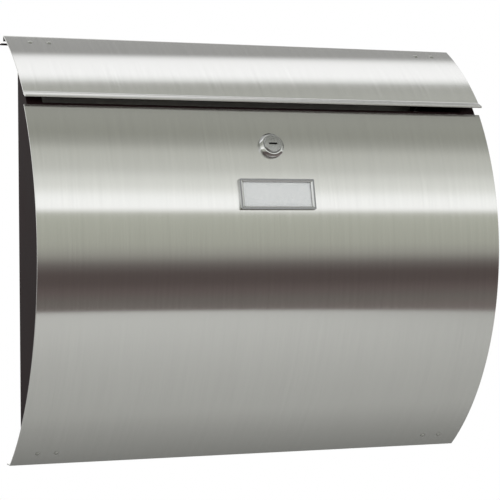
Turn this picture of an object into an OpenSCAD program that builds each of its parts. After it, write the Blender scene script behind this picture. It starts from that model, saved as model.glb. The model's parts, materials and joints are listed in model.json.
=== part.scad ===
// Wall mounted mailbox: a sheet steel box with a bowed front door hinged at the
// bottom, a curved flap over the letter slot, a cam lock and a name plate.
//
// Axes: X runs across the box, Y into the wall and Z up. The origin is the middle of
// the four wall screws, on the rear face of the back panel. Sections are drawn in
// (f, z), where f is the distance out from the wall, so f = -Y.

/* [Overall size] */
// Width of the door and the flap
front_w = 400; // [380:5:440]
// Width across the side panels
box_w = 370; // [350:5:372]
// Height of the lowest edge, below the screw pattern's middle
base_z = -172.5; // [-175:0.5:-170]
// Thickness of the stainless sheet on the front
sheet_t = 1; // [0.8:0.1:1.2]
// Thickness of the back panel
back_t = 1.2; // [1:0.1:1.5]
// Thickness of the side panels, floor, rail and sill
panel_t = 1; // [0.8:0.1:1]

/* [Door curve] */
// Outer radius of the door
door_r = 214.3; // [214:0.1:215]
// Height of the door's top edge
door_top_z = 113; // [109:0.5:113.5]
// Depth of the flange turned back along the door's bottom edge
door_return = 9; // [6:0.5:9]

/* [Flap curve] */
// Outer radius of the flap
flap_r = 214; // [213.5:0.1:215]
// Height of the flap's rear edge
flap_rear_z = 172.5; // [172:0.5:174]
// Height at which the flap turns out into its finger lip
flap_lip_z = 123; // [122.5:0.5:124]
// Length of the finger lip
lip_l = 7; // [5:0.5:7.5]

/* [Hinges] */
// Diameter of the hinge pins
hinge_pin_d = 2.5; // [2:0.1:2.6]
// Outer diameter of the knuckles
knuckle_d = 4.8; // [4.6:0.1:5]
// Inner end of each hinge, from the middle of the box
hinge_in_x = 161; // [150:1:162]
// Length of each hinge
hinge_l = 22; // [20:1:22]
// Thickness of the hinge leaves
leaf_t = 1.2; // [1:0.1:1.2]
// Half spacing of the inner rivets
rivet_in_x = 165; // [164:0.5:166]
// Half spacing of the outer rivets
rivet_out_x = 180.5; // [178:0.5:181]
// Diameter of the rivet shanks
rivet_d = 2.5; // [2:0.1:2.6]

/* [Lock] */
// Height of the lock on the door
lock_z = 82.5; // [80:0.5:84]
// Diameter of the lock's rim
lock_rim_d = 21.2; // [20:0.2:22]
// Diameter of the plug's face
plug_face_d = 15; // [14:0.2:15]
// Reach of the cam from the lock's axis
cam_reach = 26; // [24:0.5:27]

/* [Name plate] */
// Height of the name plate on the door
plate_z = 43.5; // [20:0.5:46]
// Width of the name plate
plate_w = 65; // [60:1:80]
// Height of the name plate
plate_h = 25; // [22:1:30]

/* [Wall screws] */
// Horizontal spacing of the wall screws
screw_span_x = 300; // [280:10:320]
// Vertical spacing of the wall screws
screw_span_z = 220; // [200:10:240]
// Diameter of the wall screw holes
screw_hole_d = 6.5; // [5:0.5:7]

/* [Hidden] */

big = 600;       // longer than anything in the box
round_fn = 64;   // facets of small rounds
curve_fn = 360;  // facets of the bowed sheets
eps = 0.02;      // touching faces that stay apart

// Centres of the two bowed sheets, as [f, z], and the hinge axes
door_c = [-109.7, -2.5];
flap_c = [-95.7, -13];
flap_axis = [15.5, 165.2];
door_axis = [22.8, -165.8];

// Angles along the sheets, up from level
function angle_at_z(c, r, z) = asin((z - c[1]) / r);
function on_arc(c, r, a) = [c[0] + r * cos(a), c[1] + r * sin(a)];
function axis_angle(c, p) = atan2(p[1] - c[1], p[0] - c[0]);

half_w = front_w / 2;
panel_x = box_w / 2;                      // outer face of a side panel
inner_x = panel_x - panel_t;              // inner face of a side panel
frame_r = door_r - sheet_t - 0.7;         // outer radius of what the door closes on
door_low_a = angle_at_z(door_c, door_r, base_z);
door_top_a = angle_at_z(door_c, door_r, door_top_z);
flap_lip_a = angle_at_z(flap_c, flap_r, flap_lip_z);
flap_rear_a = angle_at_z(flap_c, flap_r, flap_rear_z);
lock_a = angle_at_z(door_c, door_r, lock_z);
plate_a = angle_at_z(door_c, door_r, plate_z);

floor_z = -146;                           // underside of the floor
roof_z = 165;                             // underside of the roof plate
rail_front_f = 16.7;                      // front face of the top rail
step_f = 6.5;                             // front of the rail's step behind the knuckles
lip_slope = 24;                           // angle of the finger lip below level
rear_drop = 5.5;                          // depth of the flange along the flap's rear edge
flap_rivet_a = 56.8;                      // rivet row along the flap
door_rivet_a = -48.3;                     // rivet row along the door
rivet_xs = [-rivet_out_x, -rivet_in_x, rivet_in_x, rivet_out_x];
base_rivet_xs = [-179, -165, 165, 179];
base_rivet_z = 153;                       // rivets of the flap hinge bases, into the rail
base_rivet_f = 29;                        // rivets of the door hinge bases, into the floor
frame_rivet_x = 176;                      // rivets of the side panels' rear flanges
frame_rivet_zs = [-120, -60, 0, 60, 120];
cross_rivet_xs = [-100, 0, 100];          // rivets of the floor and the rail
floor_rivet_z = -137;
rail_rivet_z = 147;
cross_rivet_r = 1.45;
bumper_x = 191;
bumper_z = 124;
bumper_h = 4.5;
peg_x = plate_w / 2 - 1.2;                // name plate pegs
peg_r = 0.95;
knuckle_gap = 0.3;
knuckle_l = (hinge_l - 7.6 - 2 * knuckle_gap) / 2;   // each outer knuckle

// A block between two corners given as x, f and z ranges
module block(x, f, z)
    translate([x[0], -f[1], z[0]]) cube([x[1] - x[0], f[1] - f[0], z[1] - z[0]]);

// A round bar along X, centred on p = [f, z]
module bar_x(x, p, r, fn = round_fn)
    translate([x[0], -p[0], p[1]]) rotate([0, 90, 0]) cylinder(r = r, h = x[1] - x[0], $fn = fn);

// An (f, z) outline drawn out along X
module span_x(x)
    translate([(x[0] + x[1]) / 2, 0, 0]) rotate([90, 0, -90])
        linear_extrude(height = x[1] - x[0], center = true) children();

// A bowed sheet round centre c, between two radii and two angles
module bowed(x, c, r_in, r_out, a)
    intersection() {
        difference() {
            bar_x(x, c, r_out, curve_fn);
            bar_x([x[0] - 1, x[1] + 1], c, r_in, curve_fn);
        }
        span_x([x[0] - 2, x[1] + 2])
            polygon([c, on_arc(c, big, a[0]), on_arc(c, big, (a[0] + a[1]) / 2),
                on_arc(c, big, a[1])]);
    }

// Put children on a bowed sheet, with their Z pointing out of it and Y up along it
module on_sheet(x, c, r, a)
    translate([x, -(c[0] + r * cos(a)), c[1] + r * sin(a)]) rotate([90 - a, 0, 0]) children();

module on_door(a, x = 0) on_sheet(x, door_c, door_r, a) children();
module on_flap(a, x = 0) on_sheet(x, flap_c, flap_r, a) children();

// A bar along Y through the panels at the back, at x and z
module bar_y(x, z, r, f)
    translate([x, -f[0], z]) rotate([90, 0, 0]) cylinder(r = r, h = f[1] - f[0], $fn = round_fn);

// A set rivet: domed head above z = 0, tail below the grip
module rivet(grip, head_r = 2, tail_r = 1.8) {
    intersection() {
        translate([0, 0, -2.1]) sphere(r = 3, $fn = 48);
        cylinder(r = head_r, h = 2, $fn = round_fn);
    }
    translate([0, 0, -grip - 1]) cylinder(r = rivet_d / 2, h = grip + 1 + 0.2, $fn = round_fn);
    translate([0, 0, -grip - 1]) cylinder(r = tail_r, h = 1, $fn = round_fn);
}

module rivet_hole(depth)
    translate([0, 0, -depth]) cylinder(r = rivet_d / 2 + 0.05, h = 2 * depth, $fn = round_fn);

// ---- Fixed box ----------------------------------------------------------------

module back_rivet_places() {
    for (s = [-1, 1], z = frame_rivet_zs) translate([s * frame_rivet_x, 0, z]) children();
    for (x = cross_rivet_xs, z = [floor_rivet_z, rail_rivet_z]) translate([x, 0, z]) children();
}

module back_panel() color("#7d7f7c") difference() {
    block([-inner_x, inner_x], [0, back_t], [-168, roof_z]);
    for (x = [-1, 1], z = [-1, 1])
        bar_y(x * screw_span_x / 2, z * screw_span_z / 2, screw_hole_d / 2, [-1, back_t + 1]);
    back_rivet_places() {
        bar_y(0, 0, cross_rivet_r + 0.05, [-1, back_t + 1]);
        rotate([90, 0, 0]) cylinder(r1 = 2.35, r2 = cross_rivet_r, h = 0.75, $fn = round_fn);
    }
}

// One side panel on the +X side
module side_panel() color("#3b2c29") difference() {
    union() {
        intersection() {
            bar_x([inner_x, panel_x], door_c, frame_r, curve_fn);
            union() {
                block([0, big], [0, big], [-152.5, 155.5]);
                block([0, big], [0, 9.5], [-168, 0]);
                block([0, big], [0, 6.3], [0, roof_z]);
            }
        }
        // Flange turned outwards for the door to close on
        bowed([panel_x - 0.5, half_w - 3], door_c, frame_r - panel_t, frame_r,
            [angle_at_z(door_c, frame_r, -150), angle_at_z(door_c, frame_r, 128)]);
        // Flange turned inwards along the back
        block([inner_x - 14, inner_x + 0.5], [back_t, back_t + panel_t], [-130, 130]);
    }
    for (z = frame_rivet_zs) bar_y(frame_rivet_x, z, cross_rivet_r + 0.05, [0, 4]);
}

module side_panel_right() side_panel();
module side_panel_left() mirror([1, 0, 0]) side_panel();

module floor_panel() color("#3b2c29") difference() {
    union() {
        block([-inner_x, inner_x], [back_t, 46], [floor_z, floor_z + panel_t]);
        // Upstand along the back, between the side panels' flanges
        block([-inner_x + 16, inner_x - 16], [back_t, back_t + panel_t], [floor_z, -130]);
    }
    for (x = [-90, 0, 90]) translate([x, -24, floor_z - 1]) cylinder(r = 2.5, h = 3, $fn = round_fn);
    for (x = base_rivet_xs)
        translate([x, -base_rivet_f, floor_z]) rivet_hole(3);
    for (x = cross_rivet_xs) bar_y(x, floor_rivet_z, cross_rivet_r + 0.05, [0, 4]);
}

module top_rail() color("#3b2c29") difference() {
    union() {
        // Roof plate over the full width, clear of the flap's rear edge as it swings
        block([-half_w, half_w], [0, step_f], [roof_z, roof_z + panel_t]);
        // Leg down the back, above the side panels' flanges
        block([-inner_x, inner_x], [back_t, back_t + panel_t], [140, roof_z + 0.5]);
        // Step that makes room for the knuckles
        block([-inner_x, inner_x], [step_f - panel_t, step_f], [161, roof_z + 0.5]);
        block([-inner_x, inner_x], [step_f - panel_t, rail_front_f], [161, 162]);
        block([-inner_x, inner_x], [rail_front_f - panel_t, rail_front_f], [147, 162]);
    }
    for (x = base_rivet_xs) bar_y(x, base_rivet_z, rivet_d / 2 + 0.05, [10, 20]);
    for (x = cross_rivet_xs) bar_y(x, rail_rivet_z, cross_rivet_r + 0.05, [0, 4]);
}

// Channel under the letter slot, which the cam turns up behind
module slot_sill() color("#3b2c29") {
    low_a = 27.4;
    high_a = 33.5;
    lip_a = 0.28;    // angle that one thickness of sheet takes up
    channel_r = frame_r - 14;
    bowed([-inner_x, inner_x], door_c, frame_r - panel_t, frame_r, [low_a, high_a]);
    for (a = [low_a, high_a - lip_a])
        bowed([-inner_x, inner_x], door_c, channel_r, frame_r, [a, a + lip_a]);
}

module body_rivets() color("#a9abaa") back_rivet_places() {
    bar_y(0, 0, cross_rivet_r, [0.05, back_t + panel_t + 0.3]);
    translate([0, -0.05, 0]) rotate([90, 0, 0])
        cylinder(r1 = 2.2, r2 = cross_rivet_r, h = 0.7, $fn = round_fn);
    translate([0, -(back_t + panel_t), 0]) rotate([90, 0, 0]) intersection() {
        translate([0, 0, -3.2]) sphere(r = 4.4, $fn = 48);
        cylinder(r = 3, h = 2, $fn = round_fn);
    }
}

module flap_bumpers() color("#1d1d1d")
    for (s = [-1, 1])
        on_sheet(s * bumper_x, door_c, frame_r, angle_at_z(door_c, frame_r, bumper_z)) {
            translate([0, 0, 0.05]) cylinder(r = 3.5, h = bumper_h - 1.05, $fn = round_fn);
            translate([0, 0, bumper_h - 1]) cylinder(r1 = 3.5, r2 = 2.6, h = 1, $fn = round_fn);
        }

// ---- Hinges -------------------------------------------------------------------

hinge_out_x = hinge_in_x + hinge_l;
mid_x = [hinge_in_x + knuckle_l + knuckle_gap, hinge_out_x - knuckle_l - knuckle_gap];
outer_xs = [[hinge_in_x, hinge_in_x + knuckle_l], [hinge_out_x - knuckle_l, hinge_out_x]];
pin_fit = 0.05;     // running clearance in the moving knuckles
pin_grip = 0.02;    // clearance in the fixed knuckle

// Moving leaf, bent to lie inside the bowed sheet, with its two outer knuckles
module moving_leaf(c, r_sheet, axis, a_far, rivet_a) color("#b9bab6") difference() {
    a_axis = axis_angle(c, axis);
    toward = sign(a_far - a_axis);
    a_clear = a_axis + toward * 0.9;   // past the fixed knuckle
    r_out = r_sheet - sheet_t - eps;
    union() {
        bowed([hinge_in_x, hinge_out_x], c, r_out - leaf_t, r_out,
            [min(a_clear, a_far), max(a_clear, a_far)]);
        for (x = outer_xs) {
            bowed(x, c, r_out - leaf_t, r_out, [min(a_axis, a_far), max(a_axis, a_far)]);
            bar_x(x, axis, knuckle_d / 2);
        }
    }
    bar_x([hinge_in_x - 1, hinge_out_x + 1], axis, hinge_pin_d / 2 + pin_fit);
    for (x = [rivet_in_x, rivet_out_x]) on_sheet(x, c, r_sheet, rivet_a) rivet_hole(4);
}

module flap_leaf() moving_leaf(flap_c, flap_r, flap_axis, 53.8, flap_rivet_a);
module door_leaf() moving_leaf(door_c, door_r, door_axis, -44.5, door_rivet_a);

module flap_hinge_leaf_right() flap_leaf();
module flap_hinge_leaf_left() mirror([1, 0, 0]) flap_leaf();
module door_hinge_leaf_right() door_leaf();
module door_hinge_leaf_left() mirror([1, 0, 0]) door_leaf();

// Fixed leaf of a flap hinge, down the front of the rail
module flap_base() color("#b9bab6") difference() {
    union() {
        block([hinge_in_x, hinge_out_x], [rail_front_f, rail_front_f + leaf_t], [148, 162.2]);
        block(mid_x, [rail_front_f, rail_front_f + leaf_t], [162, flap_axis[1]]);
        bar_x(mid_x, flap_axis, knuckle_d / 2);
    }
    bar_x([hinge_in_x, hinge_out_x], flap_axis, hinge_pin_d / 2 + pin_grip);
    for (x = [165, 179]) bar_y(x, base_rivet_z, rivet_d / 2 + 0.05, [10, 20]);
}

module flap_hinge_base_right() flap_base();
module flap_hinge_base_left() mirror([1, 0, 0]) flap_base();

// Fixed leaf of a door hinge, up behind the door and forward under the floor
module door_base() color("#b9bab6") difference() {
    leaf_f = door_axis[0] - knuckle_d / 2;
    union() {
        block([hinge_in_x, hinge_out_x], [leaf_f, leaf_f + leaf_t], [-162.8, floor_z]);
        block(mid_x, [leaf_f, leaf_f + leaf_t], [door_axis[1], -162.5]);
        bar_x(mid_x, door_axis, knuckle_d / 2);
        block([hinge_in_x, hinge_out_x], [leaf_f, 34], [floor_z - leaf_t, floor_z]);
    }
    bar_x([hinge_in_x, hinge_out_x], door_axis, hinge_pin_d / 2 + pin_grip);
    for (x = [165, 179]) translate([x, -base_rivet_f, floor_z]) rivet_hole(3);
}

module door_hinge_base_right() door_base();
module door_hinge_base_left() mirror([1, 0, 0]) door_base();

// Pin with a small head at its inner end
module hinge_pin(axis) color("#9a9c9b") {
    bar_x([hinge_in_x - 0.8, hinge_out_x + 0.4], axis, hinge_pin_d / 2);
    bar_x([hinge_in_x - 1.2, hinge_in_x - 0.35], axis, 1.9);
}

module flap_hinge_pin_right() hinge_pin(flap_axis);
module flap_hinge_pin_left() mirror([1, 0, 0]) hinge_pin(flap_axis);
module door_hinge_pin_right() hinge_pin(door_axis);
module door_hinge_pin_left() mirror([1, 0, 0]) hinge_pin(door_axis);

// Rivets of the fixed leaves: into the rail along Y, and up through the floor
module hinge_base_rivets() color("#a9abaa")
    for (x = base_rivet_xs) {
        translate([x, -(rail_front_f + leaf_t), base_rivet_z]) rotate([90, 0, 0])
            rivet(leaf_t + panel_t);
        translate([x, -base_rivet_f, floor_z - leaf_t]) rotate([180, 0, 0])
            rivet(leaf_t + panel_t);
    }

// ---- Flap ---------------------------------------------------------------------

module flap_sheet() color("#9d9f99") difference() {
    rear_f = flap_c[0] + flap_r * cos(flap_rear_a);
    lip_f = flap_c[0] + flap_r * cos(flap_lip_a);
    hem_r = sheet_t;
    union() {
        bowed([-half_w, half_w], flap_c, flap_r - sheet_t, flap_r, [flap_lip_a, flap_rear_a]);
        // Flange turned down along the rear edge
        block([-half_w, half_w], [rear_f, rear_f + sheet_t],
            [flap_rear_z - rear_drop, flap_rear_z - 0.1]);
        // Finger lip, sloping outwards, with a closed hem; its rear end runs into the sheet
        span_x([-half_w, half_w]) translate([lip_f, flap_lip_z]) rotate(-lip_slope) {
            translate([-0.9, -2 * hem_r]) square([0.9 + lip_l - hem_r, 2 * hem_r]);
            translate([lip_l - hem_r, -hem_r]) circle(r = hem_r, $fn = round_fn);
        }
    }
    for (x = rivet_xs) on_flap(flap_rivet_a, x) rivet_hole(4);
}

module flap_rivets() color("#c4c5c2")
    for (x = rivet_xs) on_flap(flap_rivet_a, x) translate([0, 0, 0.02]) rivet(sheet_t + leaf_t + 0.06);

// ---- Door ---------------------------------------------------------------------

module door_sheet() color("#9d9f99") difference() {
    low_f = door_c[0] + door_r * cos(door_low_a);
    union() {
        bowed([-half_w, half_w], door_c, door_r - sheet_t, door_r, [door_low_a, door_top_a]);
        // Flange turned back towards the wall
        block([-half_w, half_w], [low_f - door_return, low_f - 0.2], [base_z, base_z + sheet_t]);
    }
    for (x = rivet_xs) on_door(door_rivet_a, x) rivet_hole(4);
    on_door(lock_a) translate([0, 0, -4]) cylinder(r = 8.2, h = 8, $fn = round_fn);
    for (s = [-1, 1])
        on_door(plate_a, s * peg_x) translate([0, 0, -4])
            cylinder(r = peg_r + 0.1, h = 8, $fn = round_fn);
}

module door_rivets() color("#c4c5c2")
    for (x = rivet_xs) on_door(door_rivet_a, x) translate([0, 0, 0.02]) rivet(sheet_t + leaf_t + 0.06);

// ---- Lock ---------------------------------------------------------------------

rim_h = 4;              // height of the rim above the door
bevel_z = 2.2;          // where the rim's bevel starts
seat_z = 2.5;           // floor of the plug's recess
body_end_z = -15.5;     // inner end of the housing
core_r = 6;             // plug in the housing
core_end_z = -16.9;
cam_t = 1.6;
cam_z = -18.6;          // rear face of the cam
tang = 6;               // side of the plug's square end
wafer_zs = [-8.5, -6.2, -3.9, -1.6];
nut_t = 3;
nut_flats = 20;

module lock_housing() color("#c9cccd") on_door(lock_a) difference() {
    union() {
        difference() {
            union() {
                translate([0, 0, -0.5])
                    cylinder(r = lock_rim_d / 2, h = bevel_z + 0.5, $fn = round_fn);
                translate([0, 0, bevel_z])
                    cylinder(r1 = lock_rim_d / 2, r2 = lock_rim_d / 2 - 2, h = rim_h - bevel_z,
                        $fn = round_fn);
            }
            // Seat shaped to the bowed door
            translate([0, 0, -door_r]) rotate([0, 90, 0])
                cylinder(r = door_r + eps, h = 60, center = true, $fn = curve_fn);
        }
        intersection() {
            translate([0, 0, body_end_z]) cylinder(r = 8, h = seat_z - body_end_z, $fn = round_fn);
            translate([-7.2, -9, body_end_z - 1]) cube([14.4, 18, 30]);
        }
        translate([0, 0, -0.4]) cylinder(r = 8, h = seat_z, $fn = round_fn);
    }
    translate([0, 0, body_end_z - 1]) cylinder(r = core_r + 0.05, h = 30, $fn = round_fn);
    translate([0, 0, seat_z]) cylinder(r = plug_face_d / 2 + 0.05, h = 5, $fn = round_fn);
}

module lock_washer() color("#b9bab6") on_door(lock_a) translate([0, 0, -2.2]) difference() {
    cylinder(r = 11, h = 0.9, $fn = round_fn);
    translate([0, 0, -1]) cylinder(r = 8.2, h = 3, $fn = round_fn);
}

module lock_nut() color("#b9bab6") on_door(lock_a) translate([0, 0, -2.2 - nut_t]) difference() {
    cylinder(r = nut_flats / sqrt(3), h = nut_t, $fn = 6);
    translate([0, 0, -1]) cylinder(r = 8.05, h = nut_t + 2, $fn = round_fn);
}

module lock_plug() color("#b4b7b8") on_door(lock_a) difference() {
    union() {
        translate([0, 0, seat_z + 0.1]) cylinder(r = plug_face_d / 2, h = 2.3, $fn = round_fn);
        translate([0, 0, seat_z + 2.4])
            cylinder(r1 = plug_face_d / 2, r2 = plug_face_d / 2 - 0.6, h = 0.6, $fn = round_fn);
        translate([0, 0, core_end_z])
            cylinder(r = core_r, h = seat_z + 0.6 - core_end_z, $fn = round_fn);
        translate([-tang / 2, -tang / 2, cam_z + 0.1]) cube([tang, tang, core_end_z - cam_z]);
    }
    // Keyway, lying level
    translate([-3.6, -0.8, -9.6]) cube([7.2, 1.6, 20]);
    for (z = wafer_zs) translate([-8, -2.4, z - 0.08]) cube([16, 4.8, 1.16]);
    // Screw hole
    translate([0, 0, cam_z - 1]) cylinder(r = 2.05, h = 8, $fn = round_fn);
}

// Wafers that the key lines up, each with a window for the blade
module lock_wafers() color("#c2a14d") on_door(lock_a)
    for (z = wafer_zs) translate([0, 0, z]) difference() {
        translate([-5.4, -2.3, 0]) cube([10.8, 4.6, 1]);
        translate([-3.6, -0.9, -1]) cube([7.2, 1.8, 3]);
    }

module lock_cam() color("#b9bab6") on_door(lock_a) translate([0, 0, cam_z]) difference() {
    half = 6;
    union() {
        cylinder(r = 8, h = cam_t, $fn = round_fn);
        translate([0, -half, 0]) cube([cam_reach - half, 2 * half, cam_t]);
        translate([cam_reach - half, 0, 0]) cylinder(r = half, h = cam_t, $fn = round_fn);
    }
    translate([-tang / 2 - 0.05, -tang / 2 - 0.05, -1]) cube([tang + 0.1, tang + 0.1, 4]);
}

module cam_washer() color("#b9bab6") on_door(lock_a) translate([0, 0, cam_z - 1]) difference() {
    cylinder(r = 5, h = 1 - eps, $fn = round_fn);
    translate([0, 0, -1]) cylinder(r = 2.2, h = 3, $fn = round_fn);
}

module cam_screw() color("#9a9c9b") on_door(lock_a) translate([0, 0, cam_z - 1]) difference() {
    union() {
        translate([0, 0, -2.4]) cylinder(r = 3.5, h = 2.4, $fn = round_fn);
        translate([0, 0, -0.5]) cylinder(r = 2, h = 6.5, $fn = round_fn);
    }
    // Cross recess
    for (a = [0, 90]) rotate([0, 0, a]) translate([-2.2, -0.45, -3]) cube([4.4, 0.9, 2]);
}

// ---- Name plate ---------------------------------------------------------------

rebate_w = plate_w - 4.6;
rebate_h = plate_h - 3.6;
card_z = 0.1;
card_t = 0.4;
window_t = 1;
lip_z = card_z + card_t + window_t + 0.1;   // underside of the frame's lip
lip_w = 1.4;                                // how far the lip laps over the window
plate_t = 2.4;

// A flat block with round corners, centred
module round_block(w, h, t, r)
    linear_extrude(height = t) union() {
        square([w - 2 * r, h], center = true);
        square([w, h - 2 * r], center = true);
        for (x = [-1, 1], y = [-1, 1])
            translate([x * (w / 2 - r), y * (h / 2 - r)]) circle(r = r, $fn = 32);
    }

module nameplate_frame() color("#cfd1d0") on_door(plate_a) {
    difference() {
        translate([0, 0, -0.6]) round_block(plate_w, plate_h, plate_t + 0.6, 1.5);
        translate([-rebate_w / 2, -rebate_h / 2, -2]) cube([rebate_w, rebate_h, lip_z + 2]);
        translate([-rebate_w / 2 + lip_w, -rebate_h / 2 + lip_w, 0])
            cube([rebate_w - 2 * lip_w, rebate_h - 2 * lip_w, 9]);
        // Back shaped to the bowed door
        translate([0, 0, -door_r]) rotate([0, 90, 0])
            cylinder(r = door_r + eps, h = 90, center = true, $fn = curve_fn);
    }
    for (s = [-1, 1]) translate([s * peg_x, 0, -4]) cylinder(r = peg_r, h = 4.5, $fn = round_fn);
}

module nameplate_window() color("#dfe8ea", 0.5) on_door(plate_a)
    translate([-rebate_w / 2 + 0.2, -rebate_h / 2 + 0.2, card_z + card_t + 0.05])
        cube([rebate_w - 0.4, rebate_h - 0.4, window_t]);

module name_card() color("#c9d2d8") on_door(plate_a)
    translate([-rebate_w / 2 + 0.3, -rebate_h / 2 + 0.3, card_z])
        cube([rebate_w - 0.6, rebate_h - 0.6, card_t]);

// Push-on clips behind the door
module nameplate_clips() color("#8d8f8e") on_door(plate_a)
    for (s = [-1, 1]) translate([s * peg_x, 0, -sheet_t - 0.7]) difference() {
        cylinder(r = 3, h = 0.6, $fn = round_fn);
        translate([0, 0, -1]) cylinder(r = peg_r + 0.02, h = 3, $fn = round_fn);
    }

back_panel();
side_panel_left();
side_panel_right();
floor_panel();
top_rail();
slot_sill();
body_rivets();
flap_bumpers();
flap_sheet();
flap_rivets();
flap_hinge_leaf_left();
flap_hinge_leaf_right();
flap_hinge_base_left();
flap_hinge_base_right();
flap_hinge_pin_left();
flap_hinge_pin_right();
door_sheet();
door_rivets();
door_hinge_leaf_left();
door_hinge_leaf_right();
door_hinge_base_left();
door_hinge_base_right();
door_hinge_pin_left();
door_hinge_pin_right();
hinge_base_rivets();
lock_housing();
lock_washer();
lock_nut();
lock_plug();
lock_wafers();
lock_cam();
cam_washer();
cam_screw();
nameplate_frame();
nameplate_window();
name_card();
nameplate_clips();
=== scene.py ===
import json
import math

import bmesh
import bpy
from mathutils import Matrix, Vector


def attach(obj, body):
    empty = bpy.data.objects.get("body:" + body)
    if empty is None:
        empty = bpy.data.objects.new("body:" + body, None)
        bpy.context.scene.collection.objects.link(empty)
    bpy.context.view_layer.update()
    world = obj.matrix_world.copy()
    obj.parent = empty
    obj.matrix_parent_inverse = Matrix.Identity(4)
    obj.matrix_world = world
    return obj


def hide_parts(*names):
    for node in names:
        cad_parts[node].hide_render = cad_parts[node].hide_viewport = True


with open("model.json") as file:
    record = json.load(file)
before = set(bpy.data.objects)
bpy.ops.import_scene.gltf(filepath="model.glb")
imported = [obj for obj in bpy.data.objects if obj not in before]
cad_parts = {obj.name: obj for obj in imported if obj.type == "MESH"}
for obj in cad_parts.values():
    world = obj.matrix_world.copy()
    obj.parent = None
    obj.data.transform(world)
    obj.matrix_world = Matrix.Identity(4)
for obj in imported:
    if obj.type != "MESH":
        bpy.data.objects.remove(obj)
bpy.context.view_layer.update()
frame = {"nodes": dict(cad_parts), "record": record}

MM = 0.001


# ---- Camera ---------------------------------------------------------------------
# Seen from a little left of the middle and level with it, about 1.6 m away, through
# a long lens as for a catalogue.

camera_data = bpy.data.cameras.new("catalogue_camera")
camera_data.sensor_width = 36
camera_data.lens = 136.21
camera_data.shift_y = 0.1
camera_data.clip_start = 0.05
camera_data.clip_end = 50
camera = bpy.data.objects.new("catalogue_camera", camera_data)
bpy.context.scene.collection.objects.link(camera)
camera_turn = math.radians(22.4487)
camera_tilt = math.radians(-1.759)
camera_roll = math.radians(-0.2817)
camera_place = (-0.59818, -1.48956, 0.0058)
camera.matrix_world = (
    Matrix.Translation(camera_place)
    @ Matrix.Rotation(-camera_turn, 4, "Z")
    @ Matrix.Rotation(math.pi / 2 + camera_tilt, 4, "X")
    @ Matrix.Rotation(camera_roll, 4, "Z")
)
bpy.context.scene.camera = camera
bpy.context.scene.view_settings.view_transform = "Standard"


# ---- Studio ---------------------------------------------------------------------
# A white sweep with a long overhead light and a window band in front, over a pale
# floor, and the room's unlit end behind the camera. The bowed steel spreads these
# out into its level bands.

def linear(hex_colour):
    """Turns an sRGB hex colour such as "9a9c98" into a linear one."""
    channels = [int(hex_colour[i:i + 2], 16) / 255 for i in (0, 2, 4)]
    return tuple(
        c / 12.92 if c <= 0.04045 else ((c + 0.055) / 1.055) ** 2.4 for c in channels
    ) + (1.0,)


def add(tree, kind, inputs, **settings):
    """Adds a node, with its settings, and sets or links each named input."""
    node = tree.nodes.new("ShaderNode" + kind)
    for name, value in settings.items():
        setattr(node, name, value)
    for name, value in inputs.items():
        if isinstance(value, bpy.types.NodeSocket):
            tree.links.new(value, node.inputs[name])
        else:
            node.inputs[name].default_value = value
    return node


def set_ramp(node, stops):
    """Gives a ramp node its stops, each a place from 0 to 1 and a hex colour."""
    elements = node.color_ramp.elements
    while len(elements) > 1:
        elements.remove(elements[-1])
    for index, (place, colour) in enumerate(stops):
        element = elements[0] if index == 0 else elements.new(place)
        element.position = place
        element.color = linear(colour)


# Each part of the room by its angle in degrees: 0 is level in front, 90 straight up
# and -90 straight down. The unlit end is about -14 to -9, the window band 19 to 25,
# a dark gap in the ceiling starts at 71, and the overhead light is 98 to 111.
ROOM_LOW = -180
ROOM_HIGH = 140
ROOM = [
    (-180, "9c9c9a"), (-27, "6a625f"), (-22.4, "625e5a"), (-18, "5b5250"),
    (-13.7, "4e4644"), (-9.4, "4e4644"), (-5.5, "625d5a"), (-1, "8c8b84"),
    (3.6, "9b9c92"), (16.5, "a5a79c"), (18.2, "b0b1a8"), (19.2, "f4f4f3"),
    (25, "eeefed"), (29.5, "d4d5d0"), (34, "cccdc8"), (38, "b9bab4"),
    (46.7, "b1b2ab"), (50.5, "969790"), (55, "898a82"), (69, "94958e"),
    (71, "3c3c39"), (83, "a6a7a1"), (90.4, "9c9d97"), (92.8, "a4a5a0"),
    (95.3, "dcdddb"), (98.5, "f2f2f2"), (108.4, "f0f0f0"), (111.4, "e6e6e6"),
    (113, "c1c1c0"), (114.8, "949492"), (130.5, "949492"), (132.8, "dcdcda"),
]
STEEL_SHINE = 0.62      # share of light that the steel throws back

world = bpy.data.worlds.new("studio")
bpy.context.scene.world = world
world.use_nodes = True
room = world.node_tree
room.nodes.clear()
way = add(room, "TexCoord", {}).outputs["Generated"]
way_parts = add(room, "SeparateXYZ", {"Vector": way})
toward_front = add(
    room, "Math", {0: way_parts.outputs["Y"], 1: -1.0}, operation="MULTIPLY"
)
height_angle = add(
    room, "Math", {0: way_parts.outputs["Z"], 1: toward_front.outputs[0]},
    operation="ARCTAN2",
)
angle = add(
    room, "Math", {0: height_angle.outputs[0], 1: 180 / math.pi}, operation="MULTIPLY"
)
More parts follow.
